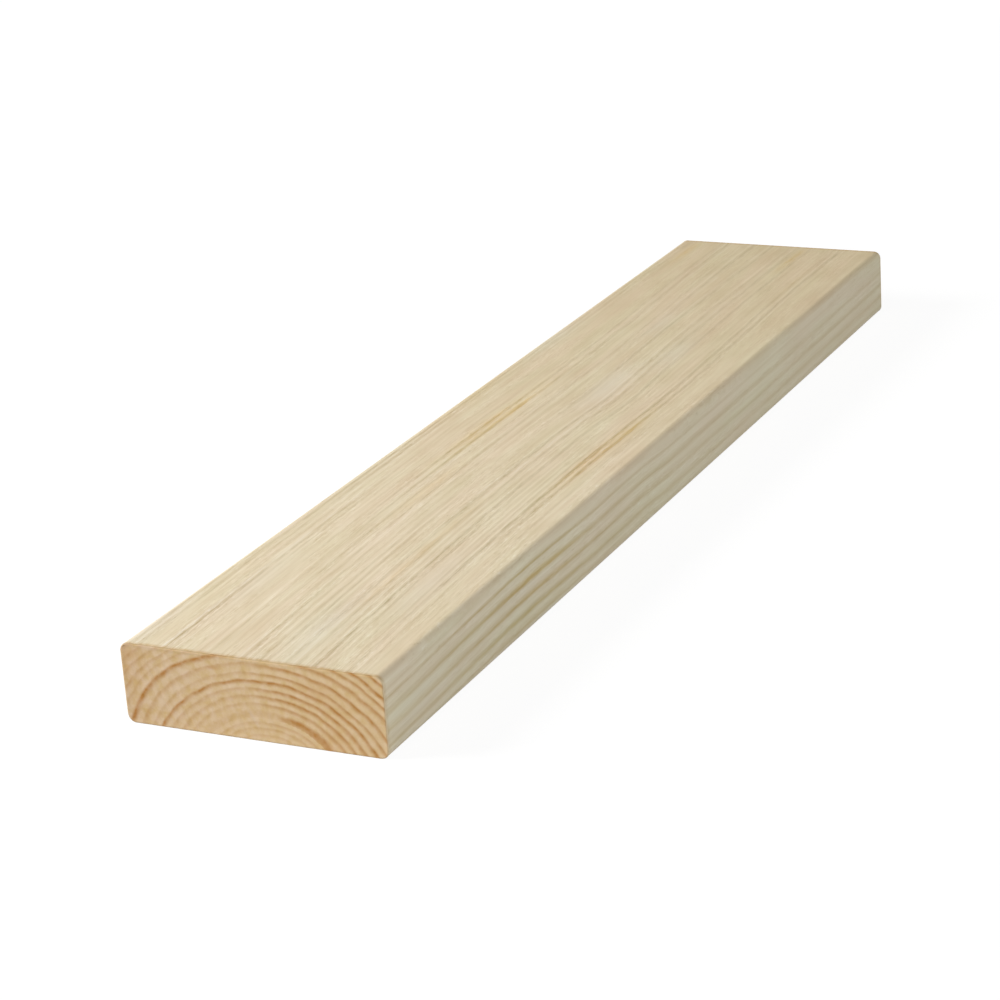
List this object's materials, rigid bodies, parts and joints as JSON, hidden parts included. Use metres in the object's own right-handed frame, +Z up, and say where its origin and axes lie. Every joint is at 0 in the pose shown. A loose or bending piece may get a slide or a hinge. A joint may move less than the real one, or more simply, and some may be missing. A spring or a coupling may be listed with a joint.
{
  "type": "timber plank",
  "caption": "Short planed softwood plank of rectangular section with eased long edges and square sawn ends, lying flat.",
  "frame": {"origin": "middle of the bottom face, the wide face that the plank lies on", "axes": "+X across the width, +Y along the grain, +Z up through the thickness"},
  "size_m": [0.095, 0.48, 0.028],
  "materials": {
    "planed_softwood": "planed, bare"
  },
  "bodies": {
    "root": {"plank": "planed_softwood"}
  },
  "joints": []
}
